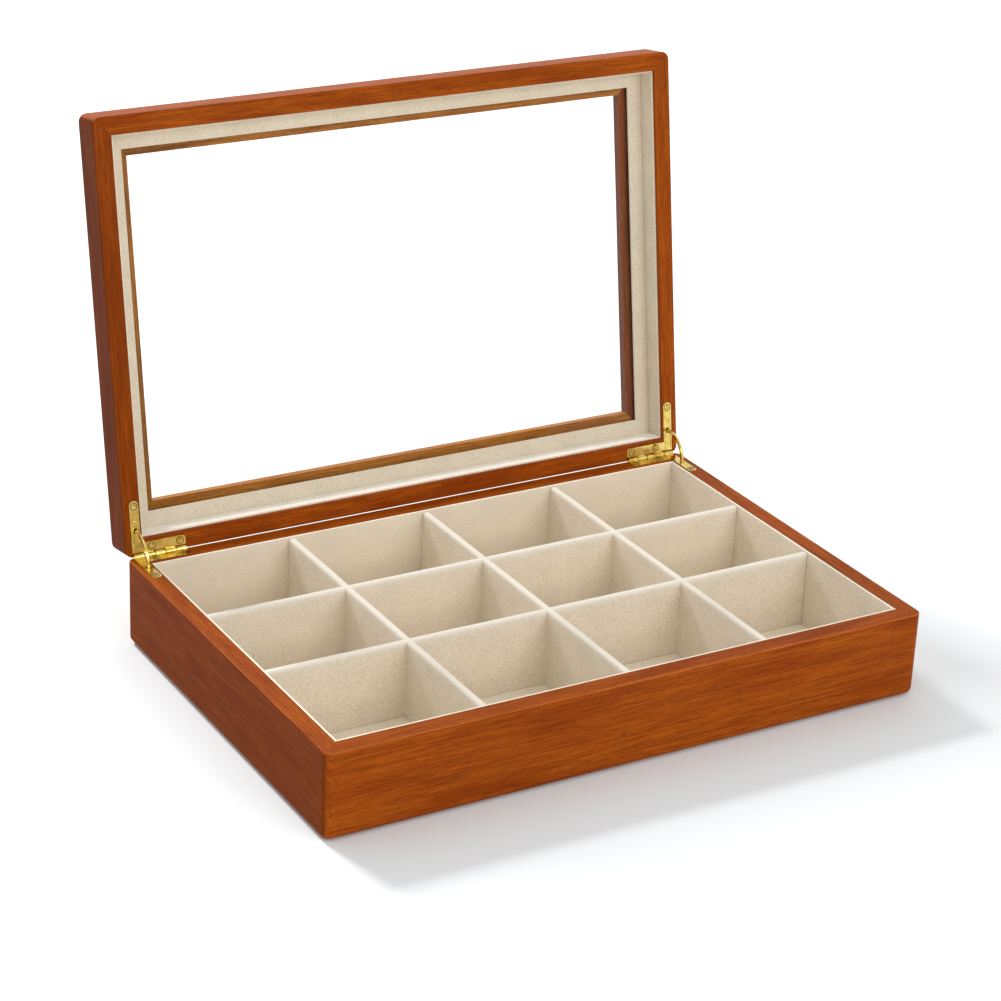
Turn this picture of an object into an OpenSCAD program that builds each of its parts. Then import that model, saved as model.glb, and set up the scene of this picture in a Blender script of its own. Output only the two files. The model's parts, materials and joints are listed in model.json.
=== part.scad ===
// Ring display box with a glazed lid, shown standing open.
// The origin is the middle of the underside, +X runs to the right, +Y to the back and +Z up.

/* [Box] */
// Outside width of the box, left to right
box_w = 220; // [180:1:320]
// Outside depth of the box, front to back
box_d = 148; // [120:1:220]
// Height of the base, from the surface it stands on to its rim
base_h = 30.5; // [26:0.5:50]
// Height of the lid, from its rim to its top
lid_h = 14; // [13.5:0.5:24]
// Thickness of the wooden walls
wall = 6.2; // [6:0.1:9]
// Radius of the upright outside corners
corner_r = 2.8; // [2.7:0.1:3.6]
// Radius of the rounded edges under the base and round the top of the lid
edge_r = 2.4; // [1.2:0.1:2.6]
// Radius of the softened outside edges of the two rims
rim_r = 0.6; // [0.4:0.1:1.2]
// Gap between the rims when the lid is shut
lid_gap = 0.4; // [0.3:0.1:0.6]
// How far the lid stands open
open_angle = 99; // [90:0.5:100]

/* [Bottom] */
// Thickness of the bottom board
bottom_t = 1.5; // [1.2:0.1:4]
// Thickness of the felt under the bottom board
felt_t = 0.8; // [0.6:0.1:2]
// How far the felt stands out below the wooden walls
felt_stand = 0.4; // [0.2:0.1:0.5]
// Width of the rebate that the bottom board sits in
rebate_w = 2.6; // [2:0.2:3.4]
// Side clearance of the bottom board in its rebate
board_clear = 0.2; // [0.1:0.1:0.5]

/* [Base lining] */
// Number of compartments, left to right
columns = 4; // [2:1:6]
// Number of compartments, front to back
rows = 3; // [2:1:3]
// Depth of the compartments in every row but the front one, which takes the rest
rear_cell_d = 40; // [30:1:46]
// Thickness of the cloth-covered wall linings
lining_t = 1; // [0.8:0.1:3]
// How far the wall linings stop below the rim
lining_drop = 0.3; // [0.2:0.1:3]
// Radius of the soft top edges of the wall linings
lining_soft_r = 0.35; // [0.2:0.05:0.4]
// Thickness of the dividers
divider_t = 2.8; // [2.2:0.1:4]
// How far the dividers stop below the rim
divider_drop = 0.6; // [0.3:0.1:4]
// Radius of the soft top edges of the dividers
divider_soft_r = 0.9; // [0.5:0.1:1]
// Side clearance where two dividers cross
cross_clear = 0.1; // [0.05:0.05:0.3]
// Thickness of the floor pad
floor_pad_t = 0.8; // [0.6:0.1:2]

/* [Lid window] */
// Width of the wooden border round the window
window_border = 15.2; // [12:0.1:20]
// Thickness of the wooden border round the window
border_t = 3.2; // [2.8:0.1:4]
// Width of the wooden lip that shows inside the lining frame
lip_w = 2.7; // [0.8:0.1:3.2]
// Thickness of the glass
glass_t = 1.6; // [1.2:0.1:2]
// Side clearance of the glass in the lid
glass_clear = 0.3; // [0.1:0.1:0.6]
// Thickness of the lining frame that holds the glass
frame_t = 0.9; // [0.7:0.1:1.5]
// Thickness of the lid's side linings
side_lining_t = 0.8; // [0.6:0.1:1.4]
// How far the lid's side linings stop short of its rim
side_lining_drop = 1.2; // [0.2:0.1:2]

/* [Hinges] */
// Length of the back legs of a hinge, and of the side leg of a lid leaf
leaf_l = 19.5; // [18:0.5:26]
// Length of the side leg of a base leaf
base_leg_l = 17; // [16:0.5:26]
// Width of the side leg of a hinge leaf
leaf_w = 3.4; // [3.2:0.1:3.8]
// Width of the back leg of a hinge leaf
back_leg_w = 4.6; // [4:0.1:4.8]
// Thickness of a hinge leaf
leaf_t = 0.8; // [0.6:0.1:0.9]
// Length of the sloping corners on the base leaf's side leg
leaf_chamfer = 0.8; // [0.4:0.1:1.2]
// Wood left outside the leaf along the side of the box
leaf_margin = 2.3; // [2:0.1:2.5]
// Clearance round a leaf in its recess
leaf_clear = 0.1; // [0.05:0.05:0.2]
// Number of knuckles on a hinge, an odd number
knuckles = 5; // [3:2:7]
// Gap between two knuckles
knuckle_gap = 0.3; // [0.1:0.05:0.4]
// Outside radius of the hinge barrel
barrel_r = 1.05; // [1:0.05:1.3]
// Radius of the hinge pin
pin_r = 0.55; // [0.45:0.05:0.65]
// Running clearance of the lid's knuckles on the pin
pin_clear = 0.05; // [0.03:0.01:0.1]
// Clearance of the barrel in the wood and in the opposite leaf
barrel_clear = 0.25; // [0.2:0.05:0.4]
// How far the hinge axis lies inside the back of the box
axis_in = 0.15; // [0:0.05:0.4]
// How far the hinge axis lies below the rim of the base
axis_drop = 0; // [0:0.05:0.4]

/* [Stays] */
// Radius of the middle of the curved stay
stay_r = 8.8; // [8.6:0.1:10.5]
// Width of the curved stay
stay_w = 1.2; // [1:0.1:2.4]
// Thickness of the curved stay
stay_t = 0.8; // [0.6:0.1:1]
// Radius of the round stop on each end of a stay
stop_r = 1.5; // [1.4:0.1:1.7]
// Play left between a stop and the leaf it stops against
stop_play = 0.05; // [0.02:0.01:0.1]
// Clearance of a stay in the slots of the leaves
slot_clear = 0.2; // [0.15:0.05:0.3]
// Clearance of a stay in its pockets in the wood
pocket_clear = 0.35; // [0.3:0.05:0.4]

/* [Screws] */
// Radius of a screw's head
screw_head_r = 1.25; // [0.8:0.05:1.3]
// Radius of a screw's shank
screw_r = 0.55; // [0.4:0.05:0.65]
// Length of a screw
screw_l = 5; // [3:0.5:7]
// Distance of a leg's end screw from the end of the leg
screw_inset = 2; // [1.7:0.1:2.6]
// Distance of the corner screw from the outside of the leaf
corner_screw_x = 7.2; // [6.5:0.1:9]
// Width of the cross cut in a screw's head
cross_w = 0.35; // [0.25:0.05:0.45]
// Depth of the cross cut in a screw's head
cross_d = 0.4; // [0.2:0.05:0.5]
// Turn of the cross cut in a screw's head
cross_turn = 20; // [0:5:90]

/* [Magnets] */
// Radius of the magnets and of the wooden plugs over them
magnet_r = 1.8; // [1.4:0.1:2.4]
// Thickness of a magnet
magnet_t = 1.5; // [1:0.1:2.5]
// Thickness of the wooden plug over a magnet
plug_t = 0.8; // [0.5:0.1:1.5]

/* [Hidden] */

$fn = 48;
// Overlap that carries a cut past the surface it leaves
eps = 0.5;

// Heights in the base
board_z = felt_t;
floor_z = board_z + bottom_t;
lining_top = base_h - lining_drop;
divider_z = floor_z + floor_pad_t;
divider_top = base_h - divider_drop;

// Inside of the walls and of the wall linings
inner_w = box_w - 2 * wall;
inner_d = box_d - 2 * wall;
tray_w = inner_w - 2 * lining_t;
tray_d = inner_d - 2 * lining_t;
column_pitch = (tray_w + divider_t) / columns;
row_pitch = rear_cell_d + divider_t;
slot_z = (divider_z + divider_top) / 2;

// Middle of a divider, counted from the left or from the front
function column_x(i) = -tray_w / 2 + i * column_pitch - divider_t / 2;
function row_y(j) = tray_d / 2 - (rows - j) * row_pitch + divider_t / 2;

// Levels in the lid, measured up from its rim
glass_z = lid_h - border_t - glass_t;
frame_z = glass_z - frame_t;

// Hinge axis, and the height of the lid's rim when it is shut
axis_y = box_d / 2 - axis_in;
axis_z = base_h - axis_drop;
lid_z = base_h + lid_gap;
// The lid's half of a hinge is drawn lying in the base and turned over, so its axis is drawn here
lid_axis_z = base_h + lid_gap + axis_drop;

// Hinge on the left, measured from the outside of the box
leaf_x = -box_w / 2 + leaf_margin;
stay_x = leaf_x + leaf_w / 2;
knuckle_l = leaf_l / knuckles;
// Turn from the hinge axis's own level to the stop behind a leaf
function stop_angle(pin_z) = asin((pin_z - base_h + leaf_t + stop_r + stop_play) / stay_r);
// Turn that a pocket needs, so that half of the opened stay goes into it
function pocket_angle(pin_z) = stop_angle(pin_z) + open_angle / 2 + asin((stop_r + pocket_clear) / stay_r);

wood = "#a4511c";
wood_pale = "#a8722f";
velvet = "#d9ccb4";
brass = "#d4ab3a";
steel = "#b9babd";

// Turns its children from the shut lid to the lid as it stands
module opened() {
    translate([0, axis_y, axis_z]) rotate([-open_angle, 0, 0]) translate([0, -axis_y, -axis_z]) children();
}

// Places a piece that is drawn at the left hinge, side -1, at either hinge
module at_side(side) {
    mirror([side > 0 ? 1 : 0, 0, 0]) children();
}

// What a fillet of radius r takes off a corner at the origin that points down and left
module corner_waste(r) {
    difference() {
        translate([-eps, -eps]) square(r + eps);
        translate([r, r]) circle(r);
    }
}

// A rail along X with its outer face on y = 0, mitred at both ends round upright corners.
// The child is its section: distance in from the outer face, and height.
module mitred_rail(length, depth) {
    end_x = length / 2 - corner_r;
    difference() {
        translate([-end_x, 0, 0]) rotate([90, 0, 90]) linear_extrude(2 * end_x) children();
        for (side = [-1, 1]) at_side(-side) translate([0, 0, -eps]) linear_extrude(base_h + lid_h)
            polygon([
                [end_x + eps, corner_r - eps],
                [end_x + eps, depth + eps],
                [length / 2 - depth - eps, depth + eps]
            ]);
    }
    for (side = [-1, 1]) at_side(-side) translate([end_x, corner_r, 0]) rotate([0, 0, -90])
        rotate_extrude(angle = 45, $fn = 96) translate([corner_r, 0]) mirror([1, 0]) intersection() {
            children();
            square([corner_r, base_h + lid_h]);
        }
}

// Turns a rail drawn at the front to its place: 0 front, 1 right, 2 back, 3 left
module to_wall(turn) {
    rotate([0, 0, 90 * turn]) translate([0, -(turn % 2 == 0 ? box_d : box_w) / 2, 0]) children();
}

function wall_length(turn) = turn % 2 == 0 ? box_w : box_d;

// Section of a base wall, with the rebate for the bottom board
module base_section() {
    difference() {
        translate([0, felt_stand]) square([wall, base_h - felt_stand]);
        translate([0, felt_stand]) corner_waste(edge_r);
        translate([0, base_h]) mirror([0, 1]) corner_waste(rim_r);
        translate([wall - rebate_w, -eps]) square([rebate_w + eps, floor_z + eps]);
    }
}

// Section of a lid wall and the window border that it carries
module lid_section() {
    difference() {
        union() {
            square([wall, lid_h]);
            translate([0, lid_h - border_t]) square([window_border, border_t]);
        }
        corner_waste(rim_r);
        translate([0, lid_h]) mirror([0, 1]) corner_waste(edge_r);
    }
}

// Outline of a hinge leaf seen from above, at the left hinge.
// The side leg ends round on the lid's leaf and with sloping corners on the base's.
module leaf_outline(round_end, grow = 0) {
    side_end = axis_y - (round_end ? leaf_l : base_leg_l);
    chamfer = round_end ? 0 : leaf_chamfer;
    leg_end = side_end + (round_end ? leaf_w / 2 : 0);
    polygon([
        [leaf_x - grow, leg_end + chamfer - grow / 2],
        [leaf_x + chamfer - grow / 2, leg_end - (round_end ? 0 : grow)],
        [leaf_x + leaf_w - chamfer + grow / 2, leg_end - (round_end ? 0 : grow)],
        [leaf_x + leaf_w + grow, leg_end + chamfer - grow / 2],
        [leaf_x + leaf_w + grow, axis_y],
        [leaf_x - grow, axis_y]
    ]);
    if (round_end) translate([stay_x, leg_end]) circle(leaf_w / 2 + grow);
    back_r = leaf_w / 3;
    translate([leaf_x - grow, axis_y - back_leg_w - grow]) square([leaf_l - back_r + grow, back_leg_w + grow]);
    translate([leaf_x + leaf_l - back_r, axis_y - back_leg_w + back_r]) circle(back_r + grow);
    translate([leaf_x + leaf_l - 2 * back_r, axis_y - back_leg_w + back_r])
        square([2 * back_r + grow, back_leg_w - back_r]);
}

// Places of a leaf's screws: the end of its side leg, the corner, and the end of the back leg
back_screw_y = axis_y - (barrel_r + barrel_clear + back_leg_w) / 2;
function screw_places(side_l) = [
    [stay_x, axis_y - side_l + screw_inset],
    [leaf_x + corner_screw_x, back_screw_y],
    [leaf_x + leaf_l - screw_inset, back_screw_y]
];

// Room that the barrel needs in the wood
module barrel_room(pin_z) {
    translate([leaf_x - barrel_clear, axis_y, pin_z]) rotate([0, 90, 0])
        cylinder(r = barrel_r + barrel_clear, h = leaf_l + 2 * barrel_clear);
}

// Part of a flat ring round the hinge axis, from turn a0 below the front to turn a1, at the left stay
module ring_part(r0, r1, t, a0, a1, pin_z) {
    translate([stay_x - t / 2, axis_y, pin_z]) rotate([0, 90, 0]) rotate([0, 0, 270 - a1])
        rotate_extrude(angle = a1 - a0, $fn = 96) translate([r0, 0]) square([r1 - r0, t]);
}

// Pocket in the base for a stay
module stay_pocket(pin_z) {
    ring_part(stay_r - stop_r - pocket_clear, stay_r + stop_r + pocket_clear, stay_t + 2 * pocket_clear,
        -pocket_angle(pin_z), asin(axis_drop / stay_r), pin_z);
}

// Everything that a hinge takes out of the wood of the base
module hinge_recess(round_end, pin_z) {
    translate([0, 0, base_h - leaf_t]) linear_extrude(leaf_t + eps) leaf_outline(round_end, leaf_clear);
    barrel_room(pin_z);
    stay_pocket(pin_z);
    for (p = screw_places(round_end ? leaf_l : base_leg_l))
        translate([p[0], p[1], base_h - screw_l]) cylinder(r = screw_r, h = screw_l);
}

// The same things turned over, for the shut lid
module over() {
    translate([0, 0, base_h + lid_z]) mirror([0, 0, 1]) children();
}

module magnet_hole(z, h) {
    translate([0, -box_d / 2 + wall / 2, z]) cylinder(r = magnet_r, h = h);
}

module base_rail(turn) {
    color(wood) difference() {
        to_wall(turn) mitred_rail(wall_length(turn), wall) base_section();
        if (turn == 0) magnet_hole(base_h - plug_t - magnet_t, plug_t + magnet_t + eps);
        if (turn != 0) for (side = [-1, 1]) at_side(side) hinge_recess(false, axis_z);
    }
}

module lid_rail(turn) {
    color(wood) opened() difference() {
        translate([0, 0, lid_z]) to_wall(turn) mitred_rail(wall_length(turn), window_border) lid_section();
        if (turn == 0) magnet_hole(lid_z - eps, plug_t + magnet_t + eps);
        if (turn != 0) for (side = [-1, 1]) at_side(side) over() hinge_recess(true, lid_axis_z);
    }
}

// A board with soft top edges, along X, standing on z = 0 and centred on the origin
module soft_board(length, height, thick, soft_r) {
    translate([-length / 2, 0, 0]) rotate([90, 0, 90]) linear_extrude(length) {
        translate([-thick / 2, 0]) square([thick, height - soft_r]);
        translate([soft_r - thick / 2, 0]) square([thick - 2 * soft_r, height]);
        for (s = [-1, 1]) translate([s * (thick / 2 - soft_r), height - soft_r]) circle(soft_r);
    }
}

module lining(turn) {
    across = turn % 2 == 0;
    color(velvet) translate([0, 0, floor_z]) rotate([0, 0, 90 * turn])
        translate([0, -(across ? inner_d : inner_w) / 2 + lining_t / 2, 0])
            soft_board(across ? inner_w : tray_d, lining_top - floor_z, lining_t, lining_soft_r);
}

// The dividers cross in half-deep slots, cut upwards in a column's and downwards in a row's
module column_divider(i) {
    slot_h = slot_z - divider_z + eps;
    color(velvet) translate([column_x(i), 0, 0]) difference() {
        translate([0, 0, divider_z]) rotate([0, 0, 90])
            soft_board(tray_d, divider_top - divider_z, divider_t, divider_soft_r);
        for (j = [1 : rows - 1]) translate([0, row_y(j), slot_z - slot_h / 2])
            cube([divider_t + 2 * eps, divider_t + 2 * cross_clear, slot_h], center = true);
    }
}

module row_divider(j) {
    slot_h = divider_top - slot_z + eps;
    color(velvet) translate([0, row_y(j), 0]) difference() {
        translate([0, 0, divider_z]) soft_board(tray_w, divider_top - divider_z, divider_t, divider_soft_r);
        for (i = [1 : columns - 1]) translate([column_x(i), 0, slot_z + slot_h / 2])
            cube([divider_t + 2 * cross_clear, divider_t + 2 * eps, slot_h], center = true);
    }
}

// The bottom board and the felt under it share one outline
board_w = box_w - 2 * (wall - rebate_w + board_clear);
board_d = box_d - 2 * (wall - rebate_w + board_clear);

module bottom_board() {
    color("#8a6a44") translate([-board_w / 2, -board_d / 2, board_z]) cube([board_w, board_d, bottom_t]);
}

module underside_felt() {
    color("#4a3a30") translate([-board_w / 2, -board_d / 2, 0]) cube([board_w, board_d, felt_t]);
}

module floor_pad() {
    color(velvet) translate([-tray_w / 2, -tray_d / 2, floor_z]) cube([tray_w, tray_d, floor_pad_t]);
}

// One knuckle of the barrel, number k from the outside
module knuckle(k, pin_z) {
    translate([leaf_x + k * knuckle_l + knuckle_gap / 2, axis_y, pin_z]) rotate([0, 90, 0])
        cylinder(r = barrel_r, h = knuckle_l - knuckle_gap);
}

// A leaf as it lies in the base, holding every second knuckle from number first
module leaf(first, bore_r, round_end, pin_z) {
    slot_l = stay_w + 2 * slot_clear + (1 - cos(stop_angle(pin_z))) * stay_r;
    notch = barrel_r + barrel_clear;
    color(brass) difference() {
        union() {
            difference() {
                translate([0, 0, base_h - leaf_t]) linear_extrude(leaf_t) leaf_outline(round_end);
                for (k = [1 - first : 2 : knuckles - 1])
                    translate([leaf_x + k * knuckle_l - knuckle_gap / 2, axis_y - notch, base_h - leaf_t - eps])
                        cube([knuckle_l + knuckle_gap, notch + eps, leaf_t + 2 * eps]);
            }
            for (k = [first : 2 : knuckles - 1]) knuckle(k, pin_z);
        }
        translate([leaf_x - eps, axis_y, pin_z]) rotate([0, 90, 0]) cylinder(r = bore_r, h = leaf_l + 2 * eps);
        translate([stay_x - stay_t / 2 - slot_clear, axis_y - stay_r - slot_l / 2, base_h - leaf_t - eps])
            cube([stay_t + 2 * slot_clear, slot_l, leaf_t + 2 * eps]);
        for (p = screw_places(round_end ? leaf_l : base_leg_l)) translate([p[0], p[1], base_h - leaf_t])
            cylinder(r1 = screw_r, r2 = screw_head_r, h = leaf_t);
    }
}

module hinge_pin(side) {
    color(brass) at_side(side) translate([leaf_x, axis_y, axis_z]) rotate([0, 90, 0])
        cylinder(r = pin_r, h = leaf_l);
}

// The screws of one leaf as they stand in the base
module leaf_screws(side_l) {
    color(brass) for (p = screw_places(side_l)) translate([p[0], p[1], base_h]) difference() {
        union() {
            translate([0, 0, -leaf_t]) cylinder(r1 = screw_r, r2 = screw_head_r, h = leaf_t);
            translate([0, 0, -screw_l]) cylinder(r = screw_r, h = screw_l - leaf_t);
        }
        for (a = [0, 90]) rotate([0, 0, a + cross_turn]) translate([0, 0, (eps - cross_d) / 2])
            cube([1.4 * screw_head_r, cross_w, cross_d + eps], center = true);
    }
}

module base_leaf(side) { at_side(side) leaf(0, pin_r, false, axis_z); }
module lid_leaf(side) { at_side(side) opened() over() leaf(1, pin_r + pin_clear, true, lid_axis_z); }
module base_screws(side) { at_side(side) leaf_screws(base_leg_l); }
module lid_screws(side) { at_side(side) opened() over() leaf_screws(leaf_l); }

module stay(side) {
    color(brass) at_side(side) {
        low_end = -stop_angle(axis_z);
        high_end = open_angle + stop_angle(lid_axis_z);
        ring_part(stay_r - stay_w / 2, stay_r + stay_w / 2, stay_t, low_end, high_end, axis_z);
        for (a = [low_end, high_end])
            translate([stay_x - stay_t / 2, axis_y - stay_r * cos(a), axis_z + stay_r * sin(a)])
                rotate([0, 90, 0]) cylinder(r = stop_r, h = stay_t);
    }
}

module window_glass() {
    glass_w = inner_w - 2 * glass_clear;
    glass_d = inner_d - 2 * glass_clear;
    color("#dfe9ea", 0.35) opened() translate([-glass_w / 2, -glass_d / 2, lid_z + glass_z])
        cube([glass_w, glass_d, glass_t]);
}

module lid_lining_frame() {
    open_w = box_w - 2 * (window_border - lip_w);
    open_d = box_d - 2 * (window_border - lip_w);
    color(velvet) opened() translate([0, 0, lid_z + frame_z]) linear_extrude(frame_t) difference() {
        square([inner_w, inner_d], center = true);
        square([open_w, open_d], center = true);
    }
}

module lid_lining(turn) {
    across = turn % 2 == 0;
    length = across ? inner_w : inner_d - 2 * side_lining_t;
    color(velvet) opened() translate([0, 0, lid_z + side_lining_drop]) rotate([0, 0, 90 * turn])
        translate([-length / 2, -(across ? inner_d : inner_w) / 2, 0])
            cube([length, side_lining_t, frame_z - side_lining_drop]);
}

module base_magnet() { color(steel) magnet_hole(base_h - plug_t - magnet_t, magnet_t); }
module base_magnet_plug() { color(wood_pale) magnet_hole(base_h - plug_t, plug_t); }
module lid_magnet() { color(steel) opened() magnet_hole(lid_z + plug_t, magnet_t); }
module lid_magnet_plug() { color(wood_pale) opened() magnet_hole(lid_z, plug_t); }

base_rail(0);  // base_front_rail
base_rail(1);  // base_right_rail
base_rail(2);  // base_back_rail
base_rail(3);  // base_left_rail
bottom_board();
underside_felt();
floor_pad();
lining(0);  // lining_front
lining(1);  // lining_right
lining(2);  // lining_back
lining(3);  // lining_left
column_divider(1);  // column_divider_left
column_divider(2);  // column_divider_middle
column_divider(3);  // column_divider_right
row_divider(1);  // row_divider_front
row_divider(2);  // row_divider_back
base_magnet();
base_magnet_plug();
base_leaf(-1);  // left_hinge_base_leaf
base_leaf(1);  // right_hinge_base_leaf
hinge_pin(-1);  // left_hinge_pin
hinge_pin(1);  // right_hinge_pin
base_screws(-1);  // left_hinge_base_screws
base_screws(1);  // right_hinge_base_screws
lid_rail(0);  // lid_front_rail
lid_rail(1);  // lid_right_rail
lid_rail(2);  // lid_back_rail
lid_rail(3);  // lid_left_rail
window_glass();
lid_lining_frame();
lid_lining(0);  // lid_lining_front
lid_lining(1);  // lid_lining_right
lid_lining(2);  // lid_lining_back
lid_lining(3);  // lid_lining_left
lid_magnet();
lid_magnet_plug();
lid_leaf(-1);  // left_hinge_lid_leaf
lid_leaf(1);  // right_hinge_lid_leaf
lid_screws(-1);  // left_hinge_lid_screws
lid_screws(1);  // right_hinge_lid_screws
stay(-1);  // left_stay
stay(1);  // right_stay
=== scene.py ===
# Ring display box: a wooden box with a velvet-lined tray and a hinged glass lid.
# Every piece is in metres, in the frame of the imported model.
import json
import math
import bmesh
import bpy
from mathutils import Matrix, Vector

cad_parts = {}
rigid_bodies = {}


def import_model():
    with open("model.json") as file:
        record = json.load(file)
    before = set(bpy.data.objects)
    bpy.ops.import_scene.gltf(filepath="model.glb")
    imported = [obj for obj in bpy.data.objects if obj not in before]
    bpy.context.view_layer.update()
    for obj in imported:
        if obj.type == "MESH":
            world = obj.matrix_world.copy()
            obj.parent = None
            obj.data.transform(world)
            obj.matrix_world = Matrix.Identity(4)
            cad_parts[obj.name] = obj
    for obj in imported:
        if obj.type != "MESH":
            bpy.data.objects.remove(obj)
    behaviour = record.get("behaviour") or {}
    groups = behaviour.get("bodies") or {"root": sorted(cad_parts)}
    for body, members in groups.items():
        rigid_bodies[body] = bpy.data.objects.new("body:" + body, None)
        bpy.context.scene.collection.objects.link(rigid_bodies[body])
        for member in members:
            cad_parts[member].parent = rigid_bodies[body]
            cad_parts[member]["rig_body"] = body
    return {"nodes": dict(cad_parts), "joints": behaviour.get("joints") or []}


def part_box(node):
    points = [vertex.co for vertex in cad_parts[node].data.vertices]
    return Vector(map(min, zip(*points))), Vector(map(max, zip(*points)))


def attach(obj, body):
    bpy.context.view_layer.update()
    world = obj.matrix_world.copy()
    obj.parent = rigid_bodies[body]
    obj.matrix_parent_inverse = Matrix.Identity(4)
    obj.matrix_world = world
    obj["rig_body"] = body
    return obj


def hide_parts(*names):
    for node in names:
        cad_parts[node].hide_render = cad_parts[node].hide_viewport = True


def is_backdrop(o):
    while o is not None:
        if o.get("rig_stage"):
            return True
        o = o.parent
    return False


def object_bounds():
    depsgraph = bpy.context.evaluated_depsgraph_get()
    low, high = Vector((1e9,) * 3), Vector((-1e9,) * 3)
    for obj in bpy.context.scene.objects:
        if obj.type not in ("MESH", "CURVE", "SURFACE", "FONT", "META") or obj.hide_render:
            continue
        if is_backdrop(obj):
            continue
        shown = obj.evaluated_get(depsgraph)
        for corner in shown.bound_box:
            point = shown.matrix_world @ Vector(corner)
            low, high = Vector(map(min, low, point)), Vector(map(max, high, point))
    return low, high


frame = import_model()
cad_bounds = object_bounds()
MM = 0.001

# The open lid's own directions: along is from its hinges to its front edge, inward is into its recess
OPEN_ANGLE = math.radians(frame["joints"][0]["range_deg"][1])
LID_ALONG = Vector((0, -math.cos(OPEN_ANGLE), math.sin(OPEN_ANGLE)))
LID_INWARD = Vector((0, math.sin(OPEN_ANGLE), math.cos(OPEN_ANGLE)))
HINGE = Vector(frame["joints"][0]["pos_m"])
BOX_W, BOX_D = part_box("base_right_rail")[1].x * 2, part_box("base_back_rail")[1].y * 2
LIP_START = 8 * MM
# How far a leaf's bed reaches past the leaf, and a depth that holds the bed and the rim's rounded edge
BED_MARGIN = 0.3 * MM
BED_DEPTH = 1 * MM
TOUCH = 0.002 * MM
# How far the edges are softened
WOOD_EDGE = 0.18 * MM
BRASS_EDGE = 0.1 * MM
SCREW_EDGE = 0.06 * MM
# The dark seam around a screw head, and the raised bead around a stay's slot: its bend, its own radius,
# and how far from the hinge axis its bend and its feet are
SEAM_R = 0.13 * MM
BEAD_BEND_R = 1.15 * MM
BEAD_R = 0.14 * MM
BEAD_TOP = 11.2 * MM
BEAD_FOOT = 1.9 * MM
SCREW_SPACING = 3 * MM
# For each half: its direction away from the hinges, and its direction down into the wood from its rim
HALVES = {"base": (Vector((0, -1, 0)), Vector((0, 0, -1))), "lid": (LID_ALONG, LID_INWARD)}


# Small helpers

def deselect():
    """Leaves edit mode, with nothing selected."""
    if bpy.context.object and bpy.context.object.mode != "OBJECT":
        bpy.ops.object.mode_set(mode="OBJECT")
    bpy.ops.object.select_all(action="DESELECT")


def activate(piece):
    deselect()
    piece.select_set(True)
    bpy.context.view_layer.objects.active = piece


def apply_modifiers(piece):
    activate(piece)
    for modifier in list(piece.modifiers):
        bpy.ops.object.modifier_apply(modifier=modifier.name)


def select_in_edit(piece, mode, wanted):
    """Enters edit mode with only those edges or faces selected for which wanted is true."""
    activate(piece)
    bpy.ops.object.mode_set(mode="EDIT")
    bpy.ops.mesh.select_mode(type=mode)
    bpy.ops.mesh.select_all(action="DESELECT")
    mesh = bmesh.from_edit_mesh(piece.data)
    for part in mesh.edges if mode == "EDGE" else mesh.faces:
        part.select_set(wanted(part))
    bmesh.update_edit_mesh(piece.data)


def smooth(piece, degrees=35):
    activate(piece)
    bpy.ops.object.shade_smooth_by_angle(angle=math.radians(degrees))


def paint(piece, *materials):
    piece.data.materials.clear()
    for material in materials:
        piece.data.materials.append(material)


def stand_for(piece, node):
    """The piece rides with a node's body and takes that node's place."""
    piece.name = node + "_finished"
    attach(piece, frame["nodes"][node]["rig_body"])
    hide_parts(node)


def srgb(red, green, blue):
    """A colour from 0 to 255, as linear light."""
    def linear(channel):
        return channel / 255 / 12.92 if channel <= 10 else ((channel / 255 + 0.055) / 1.055) ** 2.4

    return linear(red), linear(green), linear(blue), 1


def spread(node, direction):
    """The least and greatest distance of a node's corners from the hinge axis, along a direction."""
    reach = [(corner.co - HINGE).dot(direction) for corner in frame["nodes"][node].data.vertices]
    return min(reach), max(reach)


# Material building

def new_material(name, **settings):
    material = bpy.data.materials.new(name)
    material.use_nodes = True
    shader = material.node_tree.nodes["Principled BSDF"]
    for key, value in settings.items():
        shader.inputs[key.replace("_", " ").title().replace("Ior", "IOR")].default_value = value
    return material.node_tree, shader, material


def add(tree, kind, inputs=None, **settings):
    """A new node, with its settings, and its inputs set to a value or linked to a socket."""
    made = tree.nodes.new(kind)
    for key, value in settings.items():
        setattr(made, key, value)
    for key, value in (inputs or {}).items():
        if isinstance(value, bpy.types.NodeSocket):
            tree.links.new(value, made.inputs[key])
        else:
            made.inputs[key].default_value = value
    return made


def object_coordinates(tree, along=(1, 0, 0), scale=(1, 1, 1), shift=(0, 0, 0)):
    """Object coordinates turned so that along becomes X, then scaled per metre."""
    turn = Vector(along).rotation_difference(Vector((1, 0, 0))).to_euler()
    place = add(tree, "ShaderNodeTexCoord").outputs["Object"]
    turned = add(tree, "ShaderNodeMapping", {"Vector": place, "Rotation": turn})
    inputs = {"Vector": turned.outputs[0], "Scale": scale, "Location": shift}
    return add(tree, "ShaderNodeMapping", inputs).outputs[0]


def noise(tree, vector, scale=1, detail=3, roughness=0.55, distortion=0):
    return add(tree, "ShaderNodeTexNoise", {
        "Vector": vector, "Scale": scale, "Detail": detail, "Roughness": roughness,
        "Distortion": distortion}).outputs["Fac"]


def ramp(tree, value, *stops):
    """A colour ramp through (position, colour) stops."""
    made = add(tree, "ShaderNodeValToRGB", {"Fac": value})
    elements = made.color_ramp.elements
    while len(elements) < len(stops):
        elements.new(0.5)
    for element, (position, colour) in zip(elements, stops):
        element.position = position
        element.color = colour if hasattr(colour, "__len__") else (colour, colour, colour, 1)
    return made.outputs["Color"]


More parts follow.
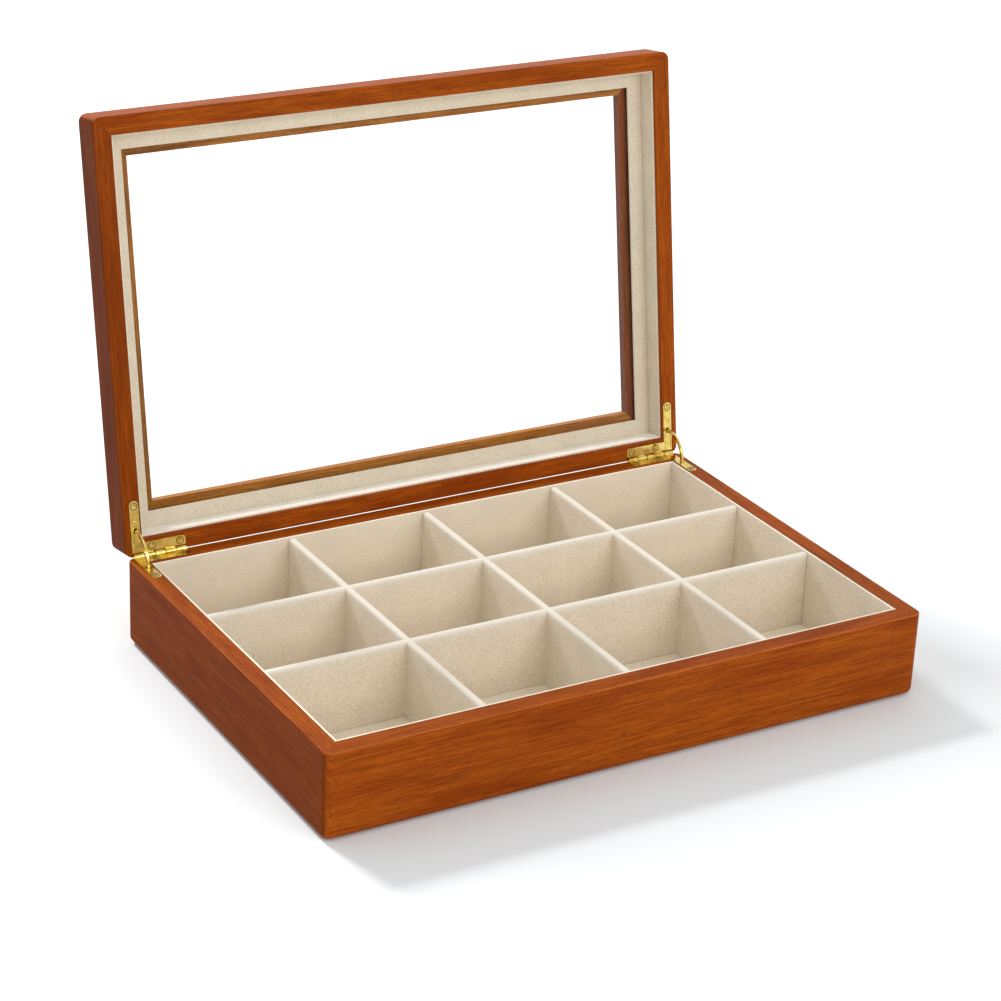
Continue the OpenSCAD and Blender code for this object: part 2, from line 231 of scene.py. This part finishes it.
def mix(tree, factor, first, second, blend="MIX"):
    made = tree.nodes.new("ShaderNodeMix")
    made.data_type = "RGBA"
    made.blend_type = blend
    for socket, value in zip((made.inputs[0], made.inputs[6], made.inputs[7]), (factor, first, second)):
        if isinstance(value, bpy.types.NodeSocket):
            tree.links.new(value, socket)
        else:
            socket.default_value = value
    return made.outputs[2]


def bump(tree, height, strength, distance, under=None):
    inputs = {"Height": height, "Strength": strength, "Distance": distance}
    if under:
        inputs["Normal"] = under
    return add(tree, "ShaderNodeBump", inputs).outputs["Normal"]


# Materials

def wood(name, along, seed, light=(172, 84, 14), middle=(150, 65, 4), dark=(112, 43, 3),
         roughness=0.36, shine=0.05):
    """Satin-lacquered hardwood, its grain along a direction: soft bands, fine lines, streaks and pores."""
    tree, shader, material = new_material(name, specular_ior_level=shine)
    shift = (seed * 3.1, seed * 1.7, seed * 2.3)
    bands = noise(tree, object_coordinates(tree, along, (18, 120, 120), shift), detail=3, distortion=0.3)
    colour = ramp(tree, bands, (0.34, srgb(*middle)), (0.52, srgb(*light)), (0.68, srgb(*middle)))
    figure = noise(tree, object_coordinates(tree, along, (16, 900, 900), shift), detail=4, distortion=0.15)
    colour = mix(tree, ramp(tree, figure, (0.46, 0.0), (0.64, 0.26)), colour, srgb(*dark))
    streaks = noise(tree, object_coordinates(tree, along, (60, 3200, 3200), shift), detail=3, roughness=0.7)
    lines = ramp(tree, streaks, (0.44, 0.0), (0.6, 0.62))
    colour = mix(tree, lines, colour, srgb(*dark))
    pores = noise(tree, object_coordinates(tree, along, (300, 5600, 5600), shift), detail=2)
    pits = ramp(tree, pores, (0.56, 0.0), (0.68, 0.6))
    colour = mix(tree, pits, colour, srgb(*(c * 0.62 for c in dark)))
    tree.links.new(colour, shader.inputs["Base Color"])
    rough = ramp(tree, streaks, (0.3, roughness), (0.75, roughness + 0.16))
    tree.links.new(rough, shader.inputs["Roughness"])
    fine = bump(tree, lines, 0.25, 0.03 * MM)
    tree.links.new(bump(tree, pits, 0.4, 0.04 * MM, fine), shader.inputs["Normal"])
    return material


def velvet(name, colour=(231, 219, 200), highlight_above=None):
    """Short-pile velvet: mottled nap, soft sheen and a fine pile, with a painted highlight that turns it
    paler towards a top edge.
    """
    tree, shader, material = new_material(name, roughness=0.95, sheen_weight=0.3, sheen_roughness=0.5)
    shader.inputs["Sheen Tint"].default_value = srgb(255, 250, 240)
    plain = object_coordinates(tree)
    brushed = noise(tree, plain, scale=110, detail=4)
    nap = noise(tree, plain, scale=1900, detail=3, roughness=0.6)
    pile = noise(tree, plain, scale=6500, detail=2, roughness=0.7)
    low = srgb(colour[0] * 0.94, colour[1] * 0.93, colour[2] * 0.9)
    high = srgb(*(min(255, c * 1.05) for c in colour))
    base = ramp(tree, nap, (0.32, low), (0.5, srgb(*colour)), (0.68, high))
    base = mix(tree, 1.0, base, ramp(tree, brushed, (0.3, 0.93), (0.7, 1.0)), "MULTIPLY")
    # Painted highlight: above a given height the velvet blends to a paler colour
    if highlight_above:
        place = add(tree, "ShaderNodeTexCoord").outputs["Object"]
        height = add(tree, "ShaderNodeSeparateXYZ", {0: place}).outputs["Z"]
        raised = {0: nap, 1: 2.5 * MM, 2: height}
        ragged = add(tree, "ShaderNodeMath", raised, operation="MULTIPLY_ADD").outputs[0]
        top_highlight = add(tree, "ShaderNodeMapRange", {
            "Value": ragged, "From Min": highlight_above + 0.8 * MM, "From Max": highlight_above + 2.5 * MM,
            "To Max": 0.75})
        base = mix(tree, top_highlight.outputs[0], base, srgb(234, 227, 214))
    tree.links.new(base, shader.inputs["Base Color"])
    coarse = bump(tree, nap, 0.1, 0.08 * MM)
    tree.links.new(bump(tree, pile, 0.15, 0.05 * MM, coarse), shader.inputs["Normal"])
    return material


def brass(name):
    """Polished brass plate with a little haze, fine scratches and darker patches."""
    tree, shader, material = new_material(name, metallic=1.0)
    patches = noise(tree, object_coordinates(tree), scale=420, detail=4)
    colour = ramp(tree, patches, (0.3, srgb(204, 170, 76)), (0.5, srgb(226, 196, 104)),
                  (0.68, srgb(240, 218, 144)))
    tree.links.new(colour, shader.inputs["Base Color"])
    haze = noise(tree, object_coordinates(tree, scale=(300, 1800, 1800)), detail=4)
    tree.links.new(ramp(tree, haze, (0.3, 0.1), (0.7, 0.2)), shader.inputs["Roughness"])
    scratches = noise(tree, object_coordinates(tree, scale=(900, 9000, 9000)), detail=3)
    tree.links.new(bump(tree, scratches, 0.05, 0.01 * MM), shader.inputs["Normal"])
    return material


def patina_and_seam_shade(name):
    """Darkened brass in a seam, patina together with painted shade of the gap, with grime in patches."""
    tree, shader, material = new_material(name, metallic=0.7)
    grime = noise(tree, object_coordinates(tree), scale=1500, detail=3)
    colour = ramp(tree, grime, (0.35, srgb(66, 46, 18)), (0.65, srgb(112, 84, 36)))
    tree.links.new(colour, shader.inputs["Base Color"])
    tree.links.new(ramp(tree, grime, (0.3, 0.35), (0.7, 0.6)), shader.inputs["Roughness"])
    return material


def glass(name):
    """A clear pane that only reflects, more at a slant."""
    tree, shader, material = new_material(name, metallic=1.0, roughness=0.03)
    smear = noise(tree, object_coordinates(tree), scale=40, detail=3)
    colour = ramp(tree, smear, (0.3, srgb(250, 254, 253)), (0.7, srgb(255, 255, 255)))
    tree.links.new(colour, shader.inputs["Base Color"])
    edge = add(tree, "ShaderNodeFresnel", {"IOR": 1.45}).outputs[0]
    faint = add(tree, "ShaderNodeMath", {0: edge, 1: 0.4}, operation="MULTIPLY").outputs[0]
    tree.links.new(faint, shader.inputs["Alpha"])
    return material


def felt(name):
    """Brown felt: matted fibres."""
    tree, shader, material = new_material(name, roughness=1.0, sheen_weight=0.3)
    fibres = noise(tree, object_coordinates(tree), scale=2400, detail=5, roughness=0.75, distortion=1.2)
    colour = ramp(tree, fibres, (0.3, srgb(52, 38, 30)), (0.7, srgb(88, 68, 54)))
    tree.links.new(colour, shader.inputs["Base Color"])
    tree.links.new(bump(tree, fibres, 0.7, 0.3 * MM), shader.inputs["Normal"])
    return material


def steel(name):
    """Nickel-plated steel."""
    tree, shader, material = new_material(name, metallic=1.0)
    haze = noise(tree, object_coordinates(tree), scale=900, detail=3)
    colour = ramp(tree, haze, (0.3, srgb(150, 150, 152)), (0.7, srgb(186, 186, 188)))
    tree.links.new(colour, shader.inputs["Base Color"])
    tree.links.new(ramp(tree, haze, (0.3, 0.25), (0.7, 0.4)), shader.inputs["Roughness"])
    return material


RIM_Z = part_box("base_front_rail")[1].z
VELVET = velvet("cream_velvet")
# The dividers' velvet, paler at the top as a painted highlight
DIVIDER_VELVET = velvet("top_highlight_velvet", highlight_above=RIM_Z - 2.4 * MM)
# A paler velvet for the linings' top faces: a painted highlight
PAINTED_HIGHLIGHT_VELVET = velvet("painted_highlight_velvet_edge", (248, 238, 220))
# The lid's lining in two copies of one velvet: darker for the frame, front and right as painted shade,
# lighter for the back and left as painted light
SHADED_LINING_VELVET = velvet("painted_shade_lining_velvet", (218, 206, 184))
LIT_LINING_VELVET = velvet("painted_light_lining_velvet", (240, 232, 218))
# A lighter copy of the cream velvet for the floor pad: painted light in the cells' shaded floors
LIGHTENED_PAD_VELVET = velvet("painted_light_pad_velvet", (250, 239, 218))
BRASS = brass("polished_brass")
PATINA_AND_SEAM_SHADE = patina_and_seam_shade("seam_patina_and_shade")
ACROSS = (1, 0, 0)
DEEP = (0, 1, 0)
UPRIGHT = (0, 0, 1)


# Pieces

def finished_copy(node, slot, edge, *materials):
    """A copy of a rigid node with its hard edges softened, as filing and sanding leave them."""
    source = frame["nodes"][node]
    piece = bpy.data.objects.new(node, source.data.copy())
    bpy.context.scene.collection.objects.link(piece)
    activate(piece)
    bpy.ops.object.mode_set(mode="EDIT")
    bpy.ops.mesh.select_all(action="SELECT")
    bpy.ops.mesh.remove_doubles(threshold=TOUCH)
    bpy.ops.mesh.dissolve_limited(angle_limit=math.radians(0.5))
    bpy.ops.object.mode_set(mode="OBJECT")
    softened = piece.modifiers.new("softened", "BEVEL")
    softened.width = edge
    softened.segments = 2
    softened.limit_method = "ANGLE"
    softened.angle_limit = math.radians(38)
    apply_modifiers(piece)
    smooth(piece)
    flat = piece.modifiers.new("flat", "WEIGHTED_NORMAL")
    flat.keep_sharp = True
    apply_modifiers(piece)
    paint(piece, *materials)
    stand_for(piece, node)
    return piece


def repaint(piece, number, wanted):
    """Gives another of its materials to those faces whose middle and normal are wanted."""
    for face in piece.data.polygons:
        if wanted(face.center, face.normal):
            face.material_index = number


def soft_board(node, top_radius, waviness, pile=0, step=2.2 * MM):
    """A board wrapped in velvet: a grid made thick, its top edges rounded, its faces a little uneven."""
    low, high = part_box(node)
    high.z += pile
    size = high - low
    thin = 0 if size.x < size.y else 1
    turn = (math.pi / 2, 0, math.pi / 2 if thin == 0 else 0)
    deselect()
    bpy.ops.mesh.primitive_grid_add(
        x_subdivisions=max(2, round(size[1 - thin] / step)), y_subdivisions=max(2, round(size.z / step)),
        size=1, location=(low + high) / 2, rotation=turn)
    piece = bpy.context.object
    piece.scale = (size[1 - thin], size.z, 1)
    bpy.ops.object.transform_apply(location=True, rotation=True, scale=True)
    board = piece.modifiers.new("board", "SOLIDIFY")
    board.thickness = size[thin]
    board.offset = 0
    apply_modifiers(piece)
    middle = (low[thin] + high[thin]) / 2
    near = 0.01 * MM

    def top_edge(edge):
        ends = [v.co for v in edge.verts]
        same_side = abs(ends[0][thin] - ends[1][thin]) < near
        return same_side and all(c.z > high.z - near for c in ends) and abs(ends[0][thin] - middle) > near

    select_in_edit(piece, "EDGE", top_edge)
    bpy.ops.mesh.bevel(offset=top_radius, segments=4, affect="EDGES")
    bpy.ops.object.mode_set(mode="OBJECT")
    uneven = piece.modifiers.new("uneven", "DISPLACE")
    uneven.texture = bpy.data.textures.new(node + "_uneven", "CLOUDS")
    uneven.texture.noise_scale = 9 * MM
    uneven.strength = waviness
    uneven.mid_level = 1.0
    apply_modifiers(piece)
    smooth(piece, 60)
    if "divider" in node:
        paint(piece, DIVIDER_VELVET)
    else:
        paint(piece, VELVET, PAINTED_HIGHLIGHT_VELVET)
        # The upward top faces of a lining take the paler velvet, a painted highlight
        repaint(piece, 1, lambda middle, normal: middle.z > high.z - 0.6 * top_radius and normal.z > 0.4)
    stand_for(piece, node)
    return piece


def soft_slab(node, edge, waviness, material=VELVET):
    """A flat velvet or felt piece: a grid given its thickness, with its edges softened."""
    low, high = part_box(node)
    size = high - low
    step = 3 * MM
    deselect()
    bpy.ops.mesh.primitive_grid_add(
        x_subdivisions=round(size.x / step), y_subdivisions=round(size.y / step),
        size=1, location=(low + high) / 2)
    piece = bpy.context.object
    piece.scale = (size.x, size.y, 1)
    bpy.ops.object.transform_apply(location=True, rotation=True, scale=True)
    slab = piece.modifiers.new("slab", "SOLIDIFY")
    slab.thickness = size.z
    slab.offset = 0
    softened = piece.modifiers.new("softened", "BEVEL")
    softened.width = edge
    softened.segments = 3
    softened.limit_method = "ANGLE"
    uneven = piece.modifiers.new("uneven", "DISPLACE")
    uneven.texture = bpy.data.textures.new(node + "_uneven", "CLOUDS")
    uneven.texture.noise_scale = 14 * MM
    uneven.strength = waviness
    uneven.mid_level = 1.0
    apply_modifiers(piece)
    smooth(piece, 60)
    paint(piece, material)
    stand_for(piece, node)
    return piece


def in_lid_recess(place, normal):
    """Whether a face of a lid rail belongs to the window's lip or jamb, seen from inside the lid."""
    depth = (place - HINGE).dot(LID_ALONG)
    inside = abs(place.x) < BOX_W / 2 - LIP_START and LIP_START < depth < BOX_D - LIP_START
    return inside and normal.dot(LID_INWARD) < 0.5


def on_jamb(place, normal):
    """Whether a face of the lid's recess stands upright on the glass."""
    return in_lid_recess(place, normal) and normal.dot(LID_INWARD) > -0.5


# The left outside faces, which get a darker copy of the stain as painted shade
def left_outside_for_painted_shade(place, normal):
    return normal.x < -0.8


def front_edge_for_painted_highlight(place, normal):
    """Whether a face of a base rail belongs to the rounded edge between the rim and the front, which takes
    a lighter wood as a painted highlight.
    """
    return place.z > RIM_Z - BED_DEPTH and 0.2 < normal.z < 0.97 and normal.y < -0.2


def mortise_test(half):
    """A test for those faces of a half's rails that belong to the walls of a hinge leaf's shallow bed,
    which take a dark wood as painted shade.
    """
    along, inward = HALVES[half]
    rim = spread(f"{half}_front_rail", inward)[0]
    reach = spread(f"left_hinge_{half}_leaf", along)[1] + BED_MARGIN
    near, far = (abs(x) for x in spread(f"right_hinge_{half}_leaf", Vector(ACROSS)))

    def in_mortise(place, normal):
        depth = (place - HINGE).dot(inward)
        beside = near - BED_MARGIN < abs(place.x) < far + BED_MARGIN
        behind = (place - HINGE).dot(along) < reach
        return beside and behind and rim + TOUCH < depth < rim + BED_DEPTH and normal.dot(inward) > -0.97

    return in_mortise


def wooden_parts():
    # Stains with painted shade: the left faces, the lid's whole left rail and the right jamb and lip get
    # darker copies of the stain for the shade they lie in; the lips are bare of the red stain
    painted_shade_lid_left = dict(light=(154, 72, 9), middle=(136, 58, 3), dark=(98, 36, 2))
    painted_shade_base_left_face = dict(light=(134, 63, 18), middle=(120, 51, 12), dark=(90, 34, 8), shine=0.015)
    painted_shade_lid_left_face = dict(light=(116, 52, 14), middle=(102, 42, 9), dark=(76, 28, 6), shine=0.015)
    lip = dict(light=(186, 120, 44), middle=(162, 96, 26), dark=(108, 58, 12))
    shaded_lip = dict(light=(160, 86, 30), middle=(142, 70, 20), dark=(104, 46, 12))
    shaded = dict(light=(112, 56, 16), middle=(98, 46, 12), dark=(72, 30, 8))
    # A lighter wood for the rounded front edge: a painted highlight
    edge = wood("painted_highlight_wood", ACROSS, 33.1, (192, 104, 46), (178, 90, 34), (146, 66, 20))
    # A dark wood for the walls of the hinge leaves' beds: painted shade in the gap around each leaf
    seam = wood("mortise_shade_wood", ACROSS, 31.7, (84, 40, 12), (70, 30, 8), (52, 22, 6), 0.6)
    sides = {"front": (ACROSS, ACROSS), "back": (ACROSS, ACROSS), "left": (DEEP, LID_ALONG),
             "right": (DEEP, LID_ALONG)}
    for number, (side, (along, lid_along)) in enumerate(sides.items()):
        left, right = side == "left", side == "right"
        stain = wood(f"base_{side}_wood", along, 1.3 + number)
        outside = wood(f"base_{side}_face_wood", along, 3.3 + number, **(painted_shade_base_left_face if left else {}))
        piece = finished_copy(f"base_{side}_rail", "wood", WOOD_EDGE, stain, outside, seam, edge)
        # Painted shade: on the left rail the outside faces take the darker copy of the stain
        repaint(piece, 1, left_outside_for_painted_shade)
        repaint(piece, 2, mortise_test("base"))
        repaint(piece, 3, front_edge_for_painted_highlight)
        # Painted shade: the lid's left rail is stained darker all over, and its outside darker still
        stain = wood(f"lid_{side}_wood", lid_along, 6.9 + number, **(painted_shade_lid_left if left else {}))
        outside = wood(f"lid_{side}_face_wood", lid_along, 8.9 + number, **(painted_shade_lid_left_face if left else {}))
        inner = wood(f"lid_{side}_lip_wood", lid_along, 20.3 + number, **(shaded_lip if right else lip))
        jamb = wood(f"lid_{side}_jamb_wood", lid_along, 25.3 + number, **(shaded if right else lip))
        piece = finished_copy(f"lid_{side}_rail", "wood", WOOD_EDGE, stain, outside, inner, jamb, seam)
        repaint(piece, 1, left_outside_for_painted_shade)
        repaint(piece, 2, in_lid_recess)
        repaint(piece, 3, on_jamb)
        repaint(piece, 4, mortise_test("lid"))
    plug_stain = (160, 80, 20), (142, 66, 10), (108, 42, 6)
    plug = wood("plug_end_grain", UPRIGHT, 12.4, *plug_stain)
    finished_copy("base_magnet_plug", "plug_wood", 0.1 * MM, plug)
    plug = wood("lid_plug_end_grain", LID_INWARD, 13.7, *plug_stain)
    finished_copy("lid_magnet_plug", "plug_wood", 0.1 * MM, plug)
    board = wood("bottom_board_wood", ACROSS, 15.1, (178, 140, 98), (158, 120, 80), (120, 88, 56), 0.7)
    paint(frame["nodes"]["bottom_board"], board)


def velvet_parts():
    for side in ("front", "back", "left", "right"):
        soft_board(f"lining_{side}", 0.35 * MM, 0.12 * MM, 0.25 * MM)
    for place in ("left", "middle", "right"):
        soft_board(f"column_divider_{place}", 0.9 * MM, 0.2 * MM)
    for place in ("front", "back"):
        soft_board(f"row_divider_{place}", 0.9 * MM, 0.2 * MM)
    soft_slab("floor_pad", 0.2 * MM, 0.15 * MM, material=LIGHTENED_PAD_VELVET)
    soft_slab("underside_felt", 0.2 * MM, 0.1 * MM, felt("brown_felt"))
    for part, material in (("frame", SHADED_LINING_VELVET), ("front", SHADED_LINING_VELVET), ("right", SHADED_LINING_VELVET),
                           ("back", LIT_LINING_VELVET), ("left", LIT_LINING_VELVET)):
        finished_copy(f"lid_lining_{part}", "velvet", 0.2 * MM, material)


def screw_tops(node, inward):
    """The middle and radius of every screw head's visible face."""
    top = spread(node, inward)[0] + 0.01 * MM
    groups = []
    for corner in frame["nodes"][node].data.vertices:
        if (corner.co - HINGE).dot(inward) < top:
            group = next((g for g in groups if (g[0] - corner.co).length < SCREW_SPACING), None)
            if group:
                group.append(corner.co.copy())
            else:
                groups.append([corner.co.copy()])
    for group in groups:
        middle = Vector((min(c[i] for c in group) + max(c[i] for c in group)) / 2 for i in range(3))
        yield middle, max((c - middle).length for c in group)


def join_up(pieces, name, body, slot, *materials):
    """Joins pieces into one that has its origin in the frame's, and rides with a body."""
    deselect()
    for piece in pieces:
        piece.select_set(True)
    bpy.context.view_layer.objects.active = pieces[0]
    bpy.ops.object.join()
    piece = bpy.context.object
    bpy.ops.object.transform_apply(location=True, rotation=True, scale=True)
    piece.name = name
    paint(piece, *materials)
    smooth(piece, 60)
    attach(piece, body)
    return piece


def screw_seams(side, half):
    """A dark ring in the countersink around every screw head of a leaf: painted shade of the gap, and
    patina.
    """
    node = f"{side}_hinge_{half}_screws"
    inward = HALVES[half][1]
    rings = []
    for middle, radius in screw_tops(node, inward):
        deselect()
        bpy.ops.mesh.primitive_torus_add(
            location=middle, rotation=inward.to_track_quat("Z", "Y").to_euler(), major_radius=radius,
            minor_radius=SEAM_R, major_segments=28, minor_segments=6)
        rings.append(bpy.context.object)
    join_up(rings, f"{side}_{half}_screw_seams", frame["nodes"][node]["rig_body"], "brass", PATINA_AND_SEAM_SHADE)


def slot_bead(side):
    """A raised bead around the stay's slot: an arch on two legs that run down to the barrel."""
    low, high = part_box(f"{side}_stay")
    middle_x = (low.x + high.x) / 2
    rim = spread("lid_front_rail", LID_INWARD)[0]
    deselect()
    bpy.ops.mesh.primitive_torus_add(
        major_radius=BEAD_BEND_R, minor_radius=BEAD_R, major_segments=32, minor_segments=8)
    piece = bpy.context.object
    bpy.ops.object.mode_set(mode="EDIT")
    bpy.ops.mesh.select_mode(type="VERT")
    bpy.ops.mesh.select_all(action="DESELECT")
    mesh = bmesh.from_edit_mesh(piece.data)
    for corner in mesh.verts:
        corner.select_set(corner.co.y < -0.005 * MM)
    bmesh.update_edit_mesh(piece.data)
    bpy.ops.mesh.delete(type="VERT")
    bpy.ops.mesh.select_all(action="DESELECT")
    bpy.ops.mesh.select_non_manifold()
    bpy.ops.mesh.extrude_region_move(TRANSFORM_OT_translate={"value": (0, BEAD_FOOT - BEAD_TOP, 0)})
    bpy.ops.mesh.edge_face_add()
    bpy.ops.mesh.select_all(action="SELECT")
    bpy.ops.mesh.normals_make_consistent(inside=False)
    bpy.ops.object.mode_set(mode="OBJECT")
    turned = piece.matrix_world.to_3x3()
    for column, direction in enumerate((Vector(ACROSS), LID_ALONG, -LID_INWARD)):
        turned.col[column] = direction
    piece.rotation_mode = "QUATERNION"
    piece.rotation_quaternion = turned.to_quaternion()
    piece.location = Vector((middle_x, HINGE.y, HINGE.z)) + LID_ALONG * BEAD_TOP + LID_INWARD * rim
    body = frame["nodes"][f"{side}_hinge_lid_leaf"]["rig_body"]
    join_up([piece], f"{side}_slot_bead", body, "brass", BRASS)


def metal_parts():
    for side in ("left", "right"):
        for part in ("hinge_base_leaf", "hinge_lid_leaf", "hinge_pin", "stay"):
            finished_copy(f"{side}_{part}", "brass", BRASS_EDGE, BRASS)
        for half in ("base", "lid"):
            piece = finished_copy(f"{side}_hinge_{half}_screws", "brass", SCREW_EDGE, BRASS, PATINA_AND_SEAM_SHADE)
            inward = HALVES[half][1]
            # The screw heads' sides and slots take the darkened brass: patina and painted shade
            repaint(piece, 1, lambda middle, normal: normal.dot(inward) > -0.9)
            screw_seams(side, half)
        slot_bead(side)
    nickel = steel("nickel_plate")
    paint(frame["nodes"]["base_magnet"], nickel)
    paint(frame["nodes"]["lid_magnet"], nickel)


wooden_parts()
velvet_parts()
metal_parts()
paint(frame["nodes"]["window_glass"], glass("window_glass"))


# Camera, light and floor

CAMERA_AZIMUTH = math.radians(-30.948)
CAMERA_ELEVATION = math.radians(24.096)
CAMERA_ROLL = math.radians(2.571)
CAMERA_OFFSET = Vector((-5.92, 56.14, 957.15)) * MM
LENS_MM = 102.32


def place_camera():
    """The camera stands where the solved view puts it; offsets are along its own right, up and back."""
    back = Vector((
        math.sin(CAMERA_AZIMUTH) * math.cos(CAMERA_ELEVATION),
        -math.cos(CAMERA_AZIMUTH) * math.cos(CAMERA_ELEVATION),
        math.sin(CAMERA_ELEVATION)))
    level = Vector((0, 0, 1)).cross(back).normalized()
    lift = back.cross(level)
    right = level * math.cos(CAMERA_ROLL) + lift * math.sin(CAMERA_ROLL)
    up = lift * math.cos(CAMERA_ROLL) - level * math.sin(CAMERA_ROLL)
    deselect()
    place = right * CAMERA_OFFSET.x + up * CAMERA_OFFSET.y + back * CAMERA_OFFSET.z
    bpy.ops.object.camera_add(location=place)
    camera = bpy.context.object
    camera.rotation_mode = "QUATERNION"
    turned = camera.matrix_world.to_3x3()
    for column, direction in enumerate((right, up, back)):
        turned.col[column] = direction
    camera.rotation_quaternion = turned.to_quaternion()
    camera.data.lens = LENS_MM
    camera.data.sensor_width = 36
    camera.data.clip_start = 0.02
    camera.data.clip_end = 60
    bpy.context.scene.camera = camera


def area_light(name, place, size, power, target=(0, 0, 0.05), colour=(1, 1, 1)):
    deselect()
    bpy.ops.object.light_add(type="AREA", location=place)
    lamp = bpy.context.object
    lamp.name = name
    lamp.rotation_mode = "QUATERNION"
    lamp.rotation_quaternion = (Vector(target) - Vector(place)).to_track_quat("-Z", "Y")
    lamp.data.shape = "RECTANGLE"
    lamp.data.size = size[0]
    lamp.data.size_y = size[1]
    lamp.data.energy = power
    lamp.data.color = colour


def seen_ray(tree):
    """1 for the rays that show the backdrop, directly, in metal and through glass; otherwise 0."""
    path = add(tree, "ShaderNodeLightPath").outputs
    seen = path["Is Camera Ray"]
    for other in ("Is Transmission Ray", "Is Glossy Ray"):
        seen = add(tree, "ShaderNodeMath", {0: seen, 1: path[other]}, operation="MAXIMUM").outputs[0]
    return seen


def studio():
    area_light("key_window", (-0.36, 1.6, 1.46), (0.42, 0.42), 36)
    area_light("front_fill", (0.35, -1.9, 1.0), (1.2, 0.8), 13)
    world = bpy.data.worlds.new("pale_room")
    bpy.context.scene.world = world
    world.use_nodes = True
    tree = world.node_tree
    strength = add(tree, "ShaderNodeMapRange", {"Value": seen_ray(tree), "To Min": 0.73, "To Max": 1.0})
    tree.links.new(strength.outputs[0], tree.nodes["Background"].inputs["Strength"])
    tree.nodes["Background"].inputs["Color"].default_value = (1, 1, 1, 1)


def pale_floor():
    deselect()
    bpy.ops.mesh.primitive_plane_add(size=12, location=(0, 0, 0))
    floor = bpy.context.object
    floor.name = "floor"
    tree, shader, material = new_material("white_floor", roughness=0.9, specular_ior_level=0.0)
    place = add(tree, "ShaderNodeTexCoord").outputs["Object"]
    away = add(tree, "ShaderNodeVectorMath", {0: place}, operation="LENGTH").outputs["Value"]
    # Close to the box the floor colour is a little cooler, a painted tint against the red light bounced
    # from the wood
    inputs = {"Value": away, "From Min": 0.14, "From Max": 0.36}
    open_floor = add(tree, "ShaderNodeMapRange", inputs).outputs[0]
    colour = mix(tree, open_floor, (0.865, 0.9, 0.912, 1), (0.893, 0.896, 0.898, 1))
    tree.links.new(colour, shader.inputs["Base Color"])
    # Far from the box the floor turns into a white backdrop
    far = add(tree, "ShaderNodeMapRange", {"Value": away, "From Min": 0.7, "From Max": 1.4}).outputs[0]
    backdrop = add(tree, "ShaderNodeMath", {0: far, 1: seen_ray(tree)}, operation="MULTIPLY").outputs[0]
    white = add(tree, "ShaderNodeEmission", {"Color": (1, 1, 1, 1), "Strength": 1.0})
    both = add(tree, "ShaderNodeMixShader", {0: backdrop, 1: shader.outputs[0], 2: white.outputs[0]})
    tree.links.new(both.outputs[0], tree.nodes["Material Output"].inputs["Surface"])
    paint(floor, material)
    floor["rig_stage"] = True


place_camera()
studio()
pale_floor()
bpy.context.scene.view_settings.view_transform = "Standard"
[[list(corner) for corner in pair] for pair in (cad_bounds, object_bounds())]
